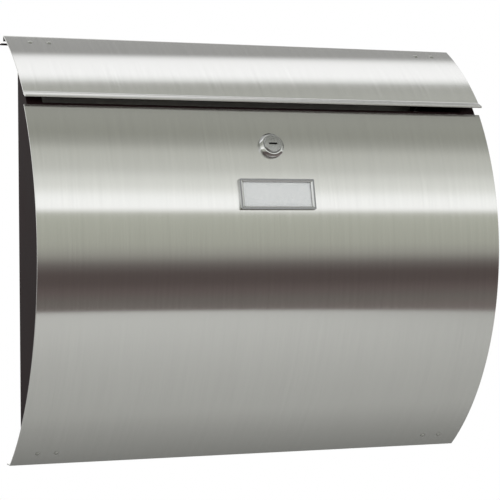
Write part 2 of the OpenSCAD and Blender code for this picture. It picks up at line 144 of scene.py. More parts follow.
# The overhead light hangs a little askew, so its band runs off level: it drops by so
# many degrees for each unit sideways from where it is true. The rest of the room is
# level, and the skew grows between two angles.
ASKEW_DROP = -32.0
ASKEW_TRUE_AT = 0.39
ASKEW_FROM = 70.0
ASKEW_WHOLLY = 88.0
askew_share = add(
    room, "MapRange",
    {"Value": angle.outputs[0], "From Min": ASKEW_FROM, "From Max": ASKEW_WHOLLY},
    interpolation_type="SMOOTHSTEP",
)
askew_x = add(
    room, "Math", {0: way_parts.outputs["X"], 1: ASKEW_TRUE_AT}, operation="SUBTRACT"
)
askew = add(room, "Math", {0: askew_x.outputs[0], 1: ASKEW_DROP}, operation="MULTIPLY")
askew_near = add(
    room, "Math", {0: askew.outputs[0], 1: askew_share.outputs[0]}, operation="MULTIPLY"
)
room_angle = add(
    room, "Math", {0: angle.outputs[0], 1: askew_near.outputs[0]}, operation="ADD"
)
place = add(
    room, "MapRange",
    {"Value": room_angle.outputs[0], "From Min": ROOM_LOW, "From Max": ROOM_HIGH},
)
room_colours = add(room, "ValToRGB", {"Fac": place.outputs[0]})
set_ramp(room_colours, [
    ((part_angle - ROOM_LOW) / (ROOM_HIGH - ROOM_LOW), colour)
    for part_angle, colour in ROOM
])
room_light = add(
    room, "Background",
    {"Color": room_colours.outputs["Color"], "Strength": 1 / STEEL_SHINE},
)
white_sweep = add(room, "Background", {"Color": (1.0, 1.0, 1.0, 1.0), "Strength": 1.0})
seen_directly = add(room, "LightPath", {}).outputs["Is Camera Ray"]
sweep_mix = add(
    room, "MixShader",
    {"Fac": seen_directly, 1: room_light.outputs[0], 2: white_sweep.outputs[0]},
)
add(room, "OutputWorld", {"Surface": sweep_mix.outputs[0]})


def new_material(name):
    """Makes an empty node material and gives it with its node tree."""
    material = bpy.data.materials.new(name)
    material.use_nodes = True
    material.node_tree.nodes.clear()
    return material, material.node_tree


def surface(tree, inputs):
    """Adds the shader and the output that end a material."""
    shader = add(tree, "BsdfPrincipled", inputs)
    add(tree, "OutputMaterial", {"Surface": shader.outputs[0]})


def new_object(name, bm, material):
    """Makes an object of a bmesh, in the shared frame."""
    mesh = bpy.data.meshes.new(name)
    bm.to_mesh(mesh)
    bm.free()
    mesh.materials.append(material)
    piece = bpy.data.objects.new(name, mesh)
    bpy.context.scene.collection.objects.link(piece)
    return piece


# Painted floor, 0.6 m below the wall screws' middle: a pale matt paint, with the
# faint mottle of a roller about every 17 mm.
FLOOR_Z = -0.6
FLOOR_X = 0.2                               # its middle, off to the right
FLOOR_R = 1.22
WALL_SHADE_REACH = 0.15                              # on either side of the wall's face

floor_material, tree = new_material("matt_floor_paint")
coords = add(tree, "TexCoord", {}).outputs["Object"]
mottle = add(tree, "TexNoise", {"Vector": coords, "Scale": 60.0, "Detail": 3.0})
tone = add(tree, "ValToRGB", {"Fac": mottle.outputs["Fac"]})
set_ramp(tone, [(0.3, "babab8"), (0.7, "c0c0be")])
# Painted shade: the floor darkens towards the wall, standing in for the shade of the wall
# and the box on it
to_wall = add(tree, "SeparateXYZ", {"Vector": coords})
painted_wall_shade = add(
    tree, "MapRange",
    {
        "Value": to_wall.outputs["Y"], "From Min": -WALL_SHADE_REACH, "From Max": WALL_SHADE_REACH,
        "To Min": 0, "To Max": 0.5,
    },
)
# The mottled paint mixed towards the painted shade's dark grey
floor_tone_and_shade = add(
    tree, "Mix", {0: painted_wall_shade.outputs[0], 6: tone.outputs["Color"], 7: linear("50504e")},
    data_type="RGBA",
)
surface(tree, {"Base Color": floor_tone_and_shade.outputs[2], "Roughness": 0.9})
bm = bmesh.new()
bmesh.ops.create_circle(bm, cap_ends=True, segments=128, radius=FLOOR_R)
bmesh.ops.translate(bm, verts=bm.verts, vec=(FLOOR_X, 0, FLOOR_Z))
studio_floor = new_object("studio_floor", bm, floor_material)

# One large soft light in front and above, for the painted parts. Its own shape
# stays out of the steel, where the room's bands do that work.
soft_light_data = bpy.data.lights.new("soft_light", "AREA")
soft_light_data.shape = "RECTANGLE"
soft_light_data.size = 1.6
soft_light_data.size_y = 1.2
soft_light_data.energy = 16
soft_light = bpy.data.objects.new("soft_light", soft_light_data)
bpy.context.scene.collection.objects.link(soft_light)
light_x, light_y, light_z = 0.6, -2.3, 1.3
soft_light.matrix_world = (
    Matrix.Translation((light_x, light_y, light_z))
    @ Matrix.Rotation(math.atan2(light_x, -light_y), 4, "Z")
    @ Matrix.Rotation(math.radians(60), 4, "X")
)
soft_light.visible_glossy = False

# A pool of light on the floor in front, which the lower half of the door reflects
pool_data = bpy.data.lights.new("floor_pool", "SPOT")
pool_data.energy = 54
pool_data.spot_size = math.radians(56)
pool_data.spot_blend = 1.0
pool_data.shadow_soft_size = 0.25
floor_pool = bpy.data.objects.new("floor_pool", pool_data)
bpy.context.scene.collection.objects.link(floor_pool)
floor_pool.location = (0.22, -1.35, 1.0)
pool_lean = math.radians(18)                # towards the wall
floor_pool.rotation_euler = (pool_lean, 0, 0)
floor_pool.visible_glossy = False


# ---- Door -----------------------------------------------------------------------
# One sheet of 1 mm stainless steel, rolled to a bow about the box's width, with its
# bottom edge folded back towards the wall. Belt-brushed along the bow.

SHEET = 1.0 * MM
SHEARED_EDGE = 0.15 * MM                    # rounding left by deburring
HALF_WIDTH = 200 * MM
DOOR_CENTRE = (-109.7 * MM, -2.5 * MM)      # out from the wall, up
DOOR_RADIUS = 214.3 * MM
DOOR_LOW_Z = -172.5 * MM
DOOR_TOP_Z = 113 * MM
DOOR_RETURN_OUT = 11.8 * MM                 # rear edge of the folded flange
LOCK_Z = 82.5 * MM
PLATE_Z = 43.5 * MM
RIVET_XS = [x * MM for x in (-180.5, -165, 165, 180.5)]


def spot(out, up, x=0.0):
    """A point given as its distance out from the wall and its height."""
    return Vector((x, -out, up))


def start_edge(bm, out, up):
    """Starts a sheet with a level edge across the box, in equal lengths."""
    ends = [bm.verts.new(spot(out, up, x)) for x in (-HALF_WIDTH, HALF_WIDTH)]
    edge = bm.edges.new(ends)
    bmesh.ops.subdivide_edges(bm, edges=[edge], cuts=31)
    return list(bm.edges)


def pull(bm, edges, out, up):
    """Draws the sheet's last edges on by a straight step."""
    made = bmesh.ops.extrude_edge_only(bm, edges=edges)["geom"]
    verts = [g for g in made if isinstance(g, bmesh.types.BMVert)]
    bmesh.ops.translate(bm, verts=verts, vec=spot(out, up))
    return [
        g for g in made
        if isinstance(g, bmesh.types.BMEdge) and all(v in verts for v in g.verts)
    ]


def fold(bm, edges, centre, turn, steps):
    """Bends the sheet's last edges round a centre; a positive turn goes up and back."""
    made = bmesh.ops.spin(
        bm, geom=edges, cent=spot(*centre), axis=(1, 0, 0), angle=-turn, steps=steps
    )
    return [g for g in made["geom_last"] if isinstance(g, bmesh.types.BMEdge)]


def smooth_by_angle(bm, limit=20):
    """Smooths the faces and leaves the edges sharper than the limit hard."""
    for face in bm.faces:
        face.smooth = True
    for edge in bm.edges:
        edge.smooth = not (
            len(edge.link_faces) == 2 and edge.calc_face_angle(0) > math.radians(limit)
        )


def ease_edges(bm, size, limit=50):
    """Rounds every edge sharper than the limit by a small bevel."""
    sharp = [
        e for e in bm.edges
        if len(e.link_faces) == 2 and e.calc_face_angle(0) > math.radians(limit)
    ]
    bmesh.ops.bevel(
        bm, geom=sharp, offset=size, offset_type="OFFSET", segments=2, profile=0.5,
        affect="EDGES", material=-1, clamp_overlap=True,
    )


def thicken(bm, thickness, inside):
    """Turns the sheet's faces outwards, seen from a point inside, and gives it body."""
    face = bm.faces[:][len(bm.faces) // 2]
    if face.normal.dot(face.calc_center_median() - inside) < 0:
        bmesh.ops.reverse_faces(bm, faces=bm.faces)
    bmesh.ops.solidify(bm, geom=bm.faces[:], thickness=thickness)


def brush_uv(bm, centre, radius):
    """Lays a map on a bowed sheet: first across the box, then along the bow."""
    layer = bm.loops.layers.uv.new("brushing")
    middle = spot(*centre)
    for face in bm.faces:
        for loop in face.loops:
            arm = loop.vert.co - middle
            reach = math.hypot(arm.y, arm.z)
            loop[layer].uv = (
                arm.x + reach - radius, radius * math.atan2(arm.z, -arm.y) + reach
            )


def on_bow(centre, radius, angle_up, x=0.0):
    """Frame on a bowed sheet: X across, Y up along it and Z straight out of it."""
    return (
        Matrix.Translation(spot(*centre, x))
        @ Matrix.Rotation(math.pi / 2 - angle_up, 4, "X")
        @ Matrix.Translation((0, 0, radius))
    )


def rod(bm, place, radius, low, high, segments=48):
    """Adds a closed round bar between two heights of a frame."""
    bmesh.ops.create_cone(
        bm, cap_ends=True, segments=segments, radius1=radius, radius2=radius,
        depth=high - low, matrix=place @ Matrix.Translation((0, 0, (low + high) / 2)),
    )


def drill(piece, holes):
    """Cuts round holes, each given as a frame and a radius, through a sheet."""
    bm = bmesh.new()
    for hole_frame, radius in holes:
        rod(bm, hole_frame, radius, -5 * SHEET, 5 * SHEET, segments=64)
    cutter = bpy.data.objects.new("cutter", bpy.data.meshes.new("cutter"))
    bm.to_mesh(cutter.data)
    bm.free()
    bpy.context.scene.collection.objects.link(cutter)
    cut = piece.modifiers.new("holes", "BOOLEAN")
    cut.operation = "DIFFERENCE"
    cut.solver = "EXACT"
    cut.object = cutter
    bpy.context.view_layer.update()
    ready = piece.evaluated_get(bpy.context.evaluated_depsgraph_get())
    drilled = bpy.data.meshes.new_from_object(ready)
    piece.modifiers.clear()
    piece.data = drilled
    bpy.data.meshes.remove(cutter.data)


def finish_piece(piece, body, slot, *nodes):
    """Rides a piece on its body and hides the nodes it stands for; the finish's slot is not
    used.
    """
    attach(piece, body)
    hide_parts(*nodes)


def angle_at(centre, radius, up):
    """Angle along a bow at which it reaches a height."""
    return math.asin((up - centre[1]) / radius)


# Brushed stainless steel, grit 180: scratches about 0.1 mm wide and some 40 mm long,
# drawn 0.5 mm wide so that they show, and faint streaks 4 mm wide. They run along the
# bow, so light spreads wide across them and stays sharp along them.
brushed_steel, tree = new_material("brushed_stainless_steel")
uv = add(tree, "UVMap", {}, uv_map="brushing").outputs["UV"]
fine_map = add(tree, "Mapping", {"Vector": uv, "Scale": (2000.0, 25.0, 1.0)})
fine_grain = add(
    tree, "TexNoise", {"Vector": fine_map.outputs[0], "Scale": 1.0, "Detail": 2.0},
    noise_dimensions="2D",
)
wide_map = add(tree, "Mapping", {"Vector": uv, "Scale": (260.0, 5.0, 1.0)})
wide_grain = add(
    tree, "TexNoise", {"Vector": wide_map.outputs[0], "Scale": 1.0, "Detail": 3.0},
    noise_dimensions="2D",
)
grain = add(
    tree, "Mix", {0: 0.4, 2: fine_grain.outputs["Fac"], 3: wide_grain.outputs["Fac"]},
    data_type="FLOAT",
)
steel_tone = add(tree, "ValToRGB", {"Fac": grain.outputs[0]})
set_ramp(steel_tone, [(0.25, "cbcbca"), (0.5, "cfcfce"), (0.75, "d3d3d2")])
steel_rough = add(
    tree, "MapRange",
    {
        "Value": grain.outputs[0], "From Min": 0.25, "From Max": 0.75,
        "To Min": 0.13, "To Max": 0.18,
    },
)
steel_bump = add(
    tree, "Bump",
    {"Height": fine_grain.outputs["Fac"], "Strength": 0.22, "Distance": 0.00006},
)
steel_tangent = add(tree, "Tangent", {}, direction_type="UV_MAP", uv_map="brushing")
surface(tree, {
    "Base Color": steel_tone.outputs["Color"], "Metallic": 1.0,
    "Roughness": steel_rough.outputs[0], "Anisotropic": 1.0,
    "Tangent": steel_tangent.outputs[0], "Normal": steel_bump.outputs[0],
})

bend = 1.5 * MM                             # outer radius of the fold at the bottom
bend_up = DOOR_LOW_Z + bend
bend_out = DOOR_CENTRE[0] + math.sqrt(
    (DOOR_RADIUS - bend) ** 2 - (bend_up - DOOR_CENTRE[1]) ** 2
)
door_low_angle = math.atan2(bend_up - DOOR_CENTRE[1], bend_out - DOOR_CENTRE[0])
door_top_angle = angle_at(DOOR_CENTRE, DOOR_RADIUS, DOOR_TOP_Z)
lock_angle = angle_at(DOOR_CENTRE, DOOR_RADIUS, LOCK_Z)
plate_angle = angle_at(DOOR_CENTRE, DOOR_RADIUS, PLATE_Z)
door_rivet_angle = math.radians(-48.3)
lock_frame = on_bow(DOOR_CENTRE, DOOR_RADIUS, lock_angle)
plate_frame = on_bow(DOOR_CENTRE, DOOR_RADIUS, plate_angle)

bm = bmesh.new()
edges = start_edge(bm, DOOR_RETURN_OUT, DOOR_LOW_Z)
edges = pull(bm, edges, bend_out - DOOR_RETURN_OUT, 0)
edges = fold(bm, edges, (bend_out, bend_up), math.pi / 2 + door_low_angle, steps=8)
edges = fold(bm, edges, DOOR_CENTRE, door_top_angle - door_low_angle, steps=170)
thicken(bm, SHEET, spot(*DOOR_CENTRE))
ease_edges(bm, SHEARED_EDGE)
brush_uv(bm, DOOR_CENTRE, DOOR_RADIUS)
smooth_by_angle(bm)
door = new_object("door", bm, brushed_steel)
PEG_X = 31.3 * MM
RIVET_HOLE = 1.3 * MM                       # radii
LOCK_HOLE = 8.2 * MM
PEG_HOLE = 1.05 * MM
door_holes = [
    (on_bow(DOOR_CENTRE, DOOR_RADIUS, door_rivet_angle, x), RIVET_HOLE) for x in RIVET_XS
]
door_holes.append((lock_frame, LOCK_HOLE))
door_holes += [
    (plate_frame @ Matrix.Translation((x, 0, 0)), PEG_HOLE) for x in (-PEG_X, PEG_X)
]
drill(door, door_holes)
finish_piece(door, "door", "brushed_stainless", "door_sheet")


# ---- Flap -----------------------------------------------------------------------
# A narrower strip of the same brushed sheet over the letter slot. Its rear edge is
# turned down, and its front edge is turned out and folded back flat on itself as a
# finger lip.

FLAP_CENTRE = (-95.7 * MM, -13 * MM)
FLAP_RADIUS = 214 * MM
FLAP_REAR_OUT = 11 * MM
FLAP_REAR_LOW_Z = 167 * MM
LIP_START_Z = 123 * MM
LIP_LENGTH = 7 * MM
LIP_SLOPE = math.radians(24)                # below level
HEM = 1.0 * MM                              # outer radius of the folded lip
hem_back = 5.8 * MM                         # how far the sheet runs back under the lip
flap_thickness = 0.96 * MM                  # leaves a hair of space in the hem

rear_bend = 1.2 * MM
rear_out = FLAP_REAR_OUT + rear_bend
rear_up = FLAP_CENTRE[1] + math.sqrt(
    (FLAP_RADIUS - rear_bend) ** 2 - (rear_out - FLAP_CENTRE[0]) ** 2
)
rear_angle = math.atan2(rear_up - FLAP_CENTRE[1], rear_out - FLAP_CENTRE[0])

# The lip turns off the bow round a small hollow bend
lip_bend = 2.5 * MM
bend_reach = 0.0017                         # radians of the bow that the bend takes up
bow_end_angle = angle_at(FLAP_CENTRE, FLAP_RADIUS, LIP_START_Z) + bend_reach
lip_turn = math.pi / 2 - LIP_SLOPE - bow_end_angle
bend_centre = (
    FLAP_CENTRE[0] + (FLAP_RADIUS + lip_bend) * math.cos(bow_end_angle),
    FLAP_CENTRE[1] + (FLAP_RADIUS + lip_bend) * math.sin(bow_end_angle),
)
lip_forward = math.cos(LIP_SLOPE)
lip_down = -math.sin(LIP_SLOPE)
lip_start = (
    bend_centre[0] + lip_bend * lip_down,
    bend_centre[1] - lip_bend * lip_forward,
)
bend_run = 0.6 * MM                         # length of the lip that the bend takes up
lip_straight = LIP_LENGTH - HEM - bend_run
nose_centre = (
    lip_start[0] + lip_straight * lip_forward + HEM * lip_down,
    lip_start[1] + lip_straight * lip_down - HEM * lip_forward,
)
flap_rivet_angle = math.radians(56.8)

bm = bmesh.new()
edges = start_edge(bm, FLAP_REAR_OUT, FLAP_REAR_LOW_Z)
edges = pull(bm, edges, 0, rear_up - FLAP_REAR_LOW_Z)
edges = fold(bm, edges, (rear_out, rear_up), rear_angle - math.pi, steps=10)
edges = fold(bm, edges, FLAP_CENTRE, bow_end_angle - rear_angle, steps=48)
edges = fold(bm, edges, bend_centre, lip_turn, steps=6)
edges = pull(bm, edges, lip_straight * lip_forward, lip_straight * lip_down)
edges = fold(bm, edges, nose_centre, -math.pi, steps=12)
edges = pull(bm, edges, -hem_back * lip_forward, -hem_back * lip_down)
thicken(bm, flap_thickness, spot(*FLAP_CENTRE))
ease_edges(bm, SHEARED_EDGE)
brush_uv(bm, FLAP_CENTRE, FLAP_RADIUS)
smooth_by_angle(bm)
flap = new_object("flap", bm, brushed_steel)
drill(flap, [
    (on_bow(FLAP_CENTRE, FLAP_RADIUS, flap_rivet_angle, x), RIVET_HOLE) for x in RIVET_XS
])
finish_piece(flap, "flap", "brushed_stainless", "flap_sheet")


# ---- Rivets ---------------------------------------------------------------------
# Aluminium rivets with low domed heads, set through the sheets and the hinge
# leaves, and countersunk ones that join the panels at the back.

HEAD = 2.0 * MM                             # radii of the rivet's parts
DOME = 3.0 * MM
SHANK = 1.25 * MM
TAIL = 1.8 * MM
HEAD_HEIGHT = 0.9 * MM
TAIL_HEIGHT = 1.0 * MM
TAIL_EDGE = (0.4 * MM, 0.3 * MM)            # across and along


def rivet(bm, place, grip):
    """Adds a set rivet whose head stands above a frame's floor."""
    dome = bm.verts.new(place @ Vector((0, 0, HEAD_HEIGHT)))
    turning = bmesh.ops.spin(
        bm, geom=[dome], cent=place @ Vector((0, 0, HEAD_HEIGHT - DOME)),
        axis=place.to_3x3() @ Vector((0, 1, 0)), angle=math.asin(HEAD / DOME), steps=6,
    )
    rim = [g for g in turning["geom_last"] if isinstance(g, bmesh.types.BMVert)][0]
    end = -grip - TAIL_HEIGHT
    outline = [
        (HEAD, 0.0), (SHANK, 0.0), (SHANK, -grip), (TAIL, -grip),
        (TAIL, end + TAIL_EDGE[1]), (TAIL - TAIL_EDGE[0], end), (0, end),
    ]
    wire = [e for e in bm.edges if not e.link_faces]
    last = rim
    for reach, height in outline:
        step = bm.verts.new(place @ Vector((reach, 0, height)))
        wire.append(bm.edges.new((last, step)))
        last = step
    bmesh.ops.spin(
        bm, geom=wire, cent=place.translation, axis=place.to_3x3() @ Vector((0, 0, 1)),
        angle=2 * math.pi, steps=24, use_merge=True,
    )


WELD = 0.000002                             # points nearer than this are made one


def close_up(bm):
    """Closes a shape's seams and poles and points its faces outwards."""
    bmesh.ops.remove_doubles(bm, verts=bm.verts, dist=WELD)
    bmesh.ops.recalc_face_normals(bm, faces=bm.faces)


# Drawn aluminium wire, formed cold: a dull pale metal with light scuffs about 1 mm
# apart.
rivet_aluminium, tree = new_material("formed_aluminium")
coords = add(tree, "TexCoord", {}).outputs["Object"]
scuffs = add(tree, "TexNoise", {"Vector": coords, "Scale": 900.0, "Detail": 3.0})
rivet_tone = add(tree, "ValToRGB", {"Fac": scuffs.outputs["Fac"]})
set_ramp(rivet_tone, [(0.35, "a6a7a4"), (0.65, "b6b7b4")])
rivet_rough = add(
    tree, "MapRange", {"Value": scuffs.outputs["Fac"], "To Min": 0.25, "To Max": 0.45}
)
surface(tree, {
    "Base Color": rivet_tone.outputs["Color"], "Metallic": 1.0,
    "Roughness": rivet_rough.outputs[0],
})

LEAF = 1.2 * MM                             # thickness of a hinge's leaf
HEAD_AIR = 0.02 * MM                        # left under the head
TAIL_AIR = 0.04 * MM                        # and inside, above the tail
for body, centre, radius, rivet_angle in (
    ("door", DOOR_CENTRE, DOOR_RADIUS, door_rivet_angle),
    ("flap", FLAP_CENTRE, FLAP_RADIUS, flap_rivet_angle),
):
    bm = bmesh.new()
    for x in RIVET_XS:
        seat = on_bow(centre, radius + HEAD_AIR, rivet_angle, x)
        rivet(bm, seat, SHEET + LEAF + HEAD_AIR + TAIL_AIR)
    close_up(bm)
    smooth_by_angle(bm)
    rivets = new_object(body + "_sheet_rivets", bm, rivet_aluminium)
    finish_piece(rivets, body, "rivet_aluminium", body + "_rivets")

BASE_RIVET_XS = [x * MM for x in (-179, -165, 165, 179)]
BASE_GRIP = SHEET + LEAF
RAIL_SEAT = (17.9 * MM, 153 * MM)           # out from the wall, up
FLOOR_SEAT = (29 * MM, -147.2 * MM)
toward_front_frame = Matrix.Rotation(math.pi / 2, 4, "X")
downward_frame = Matrix.Rotation(math.pi, 4, "X")
bm = bmesh.new()
for x in BASE_RIVET_XS:
    rivet(bm, Matrix.Translation(spot(*RAIL_SEAT, x)) @ toward_front_frame, BASE_GRIP)
    rivet(bm, Matrix.Translation(spot(*FLOOR_SEAT, x)) @ downward_frame, BASE_GRIP)
close_up(bm)
smooth_by_angle(bm)
base_rivets = new_object("hinge_fixing_rivets", bm, rivet_aluminium)
finish_piece(base_rivets, "body", "rivet_aluminium", "hinge_base_rivets")


# ---- Painted panels -------------------------------------------------------------
# Side panels, floor, top rail and slot sill: 1 mm steel sheet, folded and powder
# coated dark brown. All but the sill, which sits between the side panels, are
# riveted to the back panel.

def carried_over(node, material):
    """Gives a CAD node its finish."""
    slots = frame["nodes"][node].data.materials
    slots.clear()
    slots.append(material)


# The finish that the record gives each node
NODE_SLOTS = {row["node"]: row["material_slot"] for row in frame["record"]["subparts"]}


def eased(node, material, body, size=SHEARED_EDGE):
    """Makes a folded or stamped part from its CAD solid, with its edges rounded."""
    bm = bmesh.new()
    bm.from_mesh(frame["nodes"][node].data)
    bmesh.ops.remove_doubles(bm, verts=bm.verts, dist=WELD)
    bmesh.ops.dissolve_limit(
        bm, angle_limit=math.radians(0.5), verts=bm.verts, edges=bm.edges,
        use_dissolve_boundaries=False,
    )
    ease_edges(bm, size, limit=40)
    smooth_by_angle(bm)
    piece = new_object(node + "_finished", bm, material)
    finish_piece(piece, body, NODE_SLOTS[node], node)


# Polyester powder coat, dark brown and nearly matt: the cured film has an orange peel
# of about 1.5 mm, and its tone drifts over some 70 mm. The low specular level keeps
# the pale room from greying it.
brown_coat, tree = new_material("brown_powder_coat")
coords = add(tree, "TexCoord", {}).outputs["Object"]
peel = add(tree, "TexNoise", {"Vector": coords, "Scale": 650.0, "Detail": 2.0})
cloud = add(tree, "TexNoise", {"Vector": coords, "Scale": 14.0, "Detail": 3.0})
coat_tone = add(tree, "ValToRGB", {"Fac": cloud.outputs["Fac"]})
set_ramp(coat_tone, [(0.3, "1f1416"), (0.7, "281b1d")])
coat_rough = add(
    tree, "MapRange", {"Value": cloud.outputs["Fac"], "To Min": 0.5, "To Max": 0.62}
)
coat_bump = add(
    tree, "Bump", {"Height": peel.outputs["Fac"], "Strength": 0.35, "Distance": 0.00008}
)
surface(tree, {
    "Base Color": coat_tone.outputs["Color"], "Roughness": coat_rough.outputs[0],
    "IOR": 1.5, "Specular IOR Level": 0.05, "Normal": coat_bump.outputs[0],
})
for node in ("side_panel_left", "side_panel_right", "floor_panel", "top_rail", "slot_sill"):
    eased(node, brown_coat, "body")


# ---- Back panel -----------------------------------------------------------------
# A flat sheet of stainless steel in its mill finish, with four holes for the wall
# screws, riveted to the folded flanges.

# Mill finish: dull, with long level streaks from the rolls. They are drawn about
# 3 mm high so that they show.
mill_steel, tree = new_material("mill_finish_stainless_steel")
coords = add(tree, "TexCoord", {}).outputs["Object"]
rolled_map = add(tree, "Mapping", {"Vector": coords, "Scale": (6.0, 1.0, 90.0)})
rolled = add(
    tree, "TexNoise", {"Vector": rolled_map.outputs[0], "Scale": 4.0, "Detail": 4.0}
)
mill_tone = add(tree, "ValToRGB", {"Fac": rolled.outputs["Fac"]})
set_ramp(mill_tone, [(0.3, "b7b7b3"), (0.7, "c3c3c0")])
mill_rough = add(
    tree, "MapRange", {"Value": rolled.outputs["Fac"], "To Min": 0.28, "To Max": 0.42}
)
surface(tree, {
    "Base Color": mill_tone.outputs["Color"], "Metallic": 1.0,
    "Roughness": mill_rough.outputs[0],
})
FINE_EDGE = 0.1 * MM
eased("back_panel", mill_steel, "body", FINE_EDGE)
carried_over("body_rivets", rivet_aluminium)


# ---- Hinges ---------------------------------------------------------------------
# Two small butt hinges for the flap and two for the door, of zinc plated steel with
# a plain steel pin each.

# Bright zinc plating: pale, slightly blue, with the crystal bloom of about 2 mm and a
# satin base.
zinc_plate, tree = new_material("zinc_plated_steel")
coords = add(tree, "TexCoord", {}).outputs["Object"]
bloom = add(tree, "TexVoronoi", {"Vector": coords, "Scale": 500.0})
stain = add(tree, "TexNoise", {"Vector": coords, "Scale": 120.0, "Detail": 4.0})
zinc_mix = add(
    tree, "Mix", {0: 0.6, 2: bloom.outputs["Distance"], 3: stain.outputs["Fac"]},
    data_type="FLOAT",
)
zinc_tone = add(tree, "ValToRGB", {"Fac": zinc_mix.outputs[0]})
set_ramp(zinc_tone, [(0.3, "b9bcbf"), (0.7, "c9cccd")])
zinc_rough = add(
    tree, "MapRange", {"Value": stain.outputs["Fac"], "To Min": 0.25, "To Max": 0.45}
)
surface(tree, {
    "Base Color": zinc_tone.outputs["Color"], "Metallic": 1.0,
    "Roughness": zinc_rough.outputs[0],
})

# Drawn steel wire, ground bright: fine rings round the pin, drawn 0.25 mm apart so
# that they show
pin_steel, tree = new_material("ground_steel")
coords = add(tree, "TexCoord", {}).outputs["Object"]
ring_map = add(tree, "Mapping", {"Vector": coords, "Scale": (4000.0, 60.0, 60.0)})
rings = add(tree, "TexNoise", {"Vector": ring_map.outputs[0], "Scale": 1.0, "Detail": 2.0})
pin_tone = add(tree, "ValToRGB", {"Fac": rings.outputs["Fac"]})
set_ramp(pin_tone, [(0.3, "a3a4a5"), (0.7, "b4b5b6")])
surface(tree, {"Base Color": pin_tone.outputs["Color"], "Metallic": 1.0, "Roughness": 0.3})

for side in ("left", "right"):
    for panel in ("flap", "door"):
        eased(f"{panel}_hinge_leaf_{side}", zinc_plate, panel)
        eased(f"{panel}_hinge_base_{side}", zinc_plate, "body")
        carried_over(f"{panel}_hinge_pin_{side}", pin_steel)


# ---- Bumpers --------------------------------------------------------------------
# Two moulded rubber bumpers, pressed into the side panels' flanges, that the flap
# closes on.

# Moulded rubber: matt black, with the mould's pores drawn 0.7 mm wide so that they
# show
black_rubber, tree = new_material("moulded_rubber")
coords = add(tree, "TexCoord", {}).outputs["Object"]
pores = add(tree, "TexNoise", {"Vector": coords, "Scale": 1500.0, "Detail": 2.0})
rubber_tone = add(tree, "ValToRGB", {"Fac": pores.outputs["Fac"]})
set_ramp(rubber_tone, [(0.3, "161616"), (0.7, "1f1f1f")])
rubber_bump = add(
    tree, "Bump", {"Height": pores.outputs["Fac"], "Strength": 0.3, "Distance": 0.00005}
)
surface(tree, {
    "Base Color": rubber_tone.outputs["Color"], "Roughness": 0.7,
    "Normal": rubber_bump.outputs[0],
})
carried_over("flap_bumpers", black_rubber)


# ---- Lock -----------------------------------------------------------------------
# Cam lock for sheet metal: a die-cast, chrome plated housing with a bevelled rim, a
# turned plug with a level key slot, and the cam on the plug's square end.

# Chrome on a polished casting: near mirror bright, with a soft waviness of 4 mm
polished_chrome, tree = new_material("polished_chrome")
coords = add(tree, "TexCoord", {}).outputs["Object"]
waviness = add(tree, "TexNoise", {"Vector": coords, "Scale": 250.0, "Detail": 2.0})
chrome_rough = add(
    tree, "MapRange", {"Value": waviness.outputs["Fac"], "To Min": 0.06, "To Max": 0.14}
)
chrome_bump = add(
    tree, "Bump", {"Height": waviness.outputs["Fac"], "Strength": 0.2, "Distance": 0.0001}
)
surface(tree, {
    "Base Color": linear("d6d7d8"), "Metallic": 1.0, "Roughness": chrome_rough.outputs[0],
    "Normal": chrome_bump.outputs[0],
})

# The housing's section, turned round its middle: how far out and how high, in mm
HOUSING_SECTION = [
    (6.05, -15.5), (7.7, -15.5), (8, -15.2), (8, -0.12), (10.3, -0.26), (10.6, 0.1),
    (10.6, 2.0), (10.5, 2.3), (8.75, 3.88), (8.5, 4.0), (7.75, 4.0), (7.55, 3.8),
    (7.55, 2.5), (6.05, 2.5),
]
bm = bmesh.new()
section = [
    bm.verts.new(lock_frame @ Vector((reach * MM, 0, height * MM)))
    for reach, height in HOUSING_SECTION
]
wire = [bm.edges.new(pair) for pair in zip(section, section[1:] + section[:1])]
bmesh.ops.spin(
    bm, geom=wire, cent=lock_frame.translation,
    axis=lock_frame.to_3x3() @ Vector((0, 0, 1)), angle=2 * math.pi, steps=64,
    use_merge=True,
)
close_up(bm)
smooth_by_angle(bm, limit=28)
lock_body = new_object("lock_body", bm, polished_chrome)
finish_piece(lock_body, "door", "lock_chrome", "lock_housing")

# Chrome on a turned face: satin, clouded by key scratches, drawn about 1 mm wide so
# that they show
turned_chrome, tree = new_material("turned_chrome")
coords = add(tree, "TexCoord", {}).outputs["Object"]
wear = add(tree, "TexNoise", {"Vector": coords, "Scale": 1100.0, "Detail": 4.0})
plug_tone = add(tree, "ValToRGB", {"Fac": wear.outputs["Fac"]})
set_ramp(plug_tone, [(0.3, "a2a3a4"), (0.7, "bcbdbe")])
plug_rough = add(
    tree, "MapRange", {"Value": wear.outputs["Fac"], "To Min": 0.2, "To Max": 0.38}
)
surface(tree, {
    "Base Color": plug_tone.outputs["Color"], "Metallic": 1.0,
    "Roughness": plug_rough.outputs[0],
})
SMALL_EDGE = 0.12 * MM
STAMPED_EDGE = 0.2 * MM
eased("lock_plug", turned_chrome, "lock_plug", SMALL_EDGE)
eased("lock_washer", zinc_plate, "door", SMALL_EDGE)
eased("lock_nut", zinc_plate, "door", STAMPED_EDGE)
eased("lock_cam", zinc_plate, "lock_plug", STAMPED_EDGE)
eased("cam_washer", zinc_plate, "lock_plug", SMALL_EDGE)
eased("cam_screw", zinc_plate, "lock_plug", FINE_EDGE)

